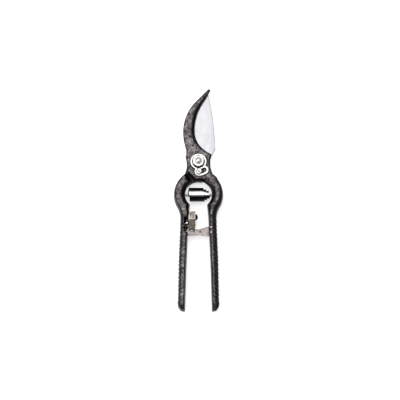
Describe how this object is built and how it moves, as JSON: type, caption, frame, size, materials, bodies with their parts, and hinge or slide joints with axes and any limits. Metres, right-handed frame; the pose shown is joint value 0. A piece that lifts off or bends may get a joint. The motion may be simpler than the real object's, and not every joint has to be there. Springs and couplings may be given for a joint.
{
  "type": "pruning shears",
  "caption": "Forged bypass pruning shears: hook and blade on a bolt pivot, volute return spring in the bows, strap and catch that hold the handles closed.",
  "frame": {"origin": "on the pivot axis, on the underside of the pivot bolt's head, which is the plane the shears rest on", "axes": "+Z along the pivot, out of the front face; +Y along the closed shears, towards the tip; +X towards the hook lever's handle"},
  "size_m": [0.0454, 0.2095, 0.0222],
  "materials": {
    "forged_steel": "drop-forged, dark scale under clear lacquer",
    "ground_steel": "ground and polished",
    "plated_steel": "bright nickel-chrome plate",
    "zinc_steel": "zinc plated sheet, rolled",
    "catch_steel": "nickel plated, worn",
    "spring_steel": "blued spring strip",
    "black_plastic": "moulded"
  },
  "bodies": {
    "hook_side": {"hook_lever": "forged_steel", "pivot_bolt": "plated_steel", "pivot_nut": "plated_steel", "lock_plate": "plated_steel", "lock_screw": "plated_steel", "spring_stud_front": "ground_steel", "return_spring": "spring_steel", "strap": "zinc_steel", "strap_pins": "zinc_steel"},
    "blade_side": {"blade_lever": "forged_steel", "blade": "ground_steel", "blade_rivets": "ground_steel", "spring_stud_rear": "ground_steel", "catch_pin": "catch_steel", "catch_spring": "spring_steel"},
    "catch": {"catch_lever": "catch_steel", "catch_button": "black_plastic"}
  },
  "joints": [
    {"name": "pivot_hinge", "type": "hinge", "parent": "hook_side", "child": "blade_side", "pos_m": [0, 0, 0.0084], "axis": [0, 0, -1], "range_deg": [0, 34], "deforming": ["return_spring"]},
    {"name": "catch_hinge", "type": "hinge", "parent": "blade_side", "child": "catch", "pos_m": [-0.0106, -0.0572, 0.0113], "axis": [0, 0, 1], "range_deg": [-16, 7], "deforming": ["catch_spring"]}
  ]
}
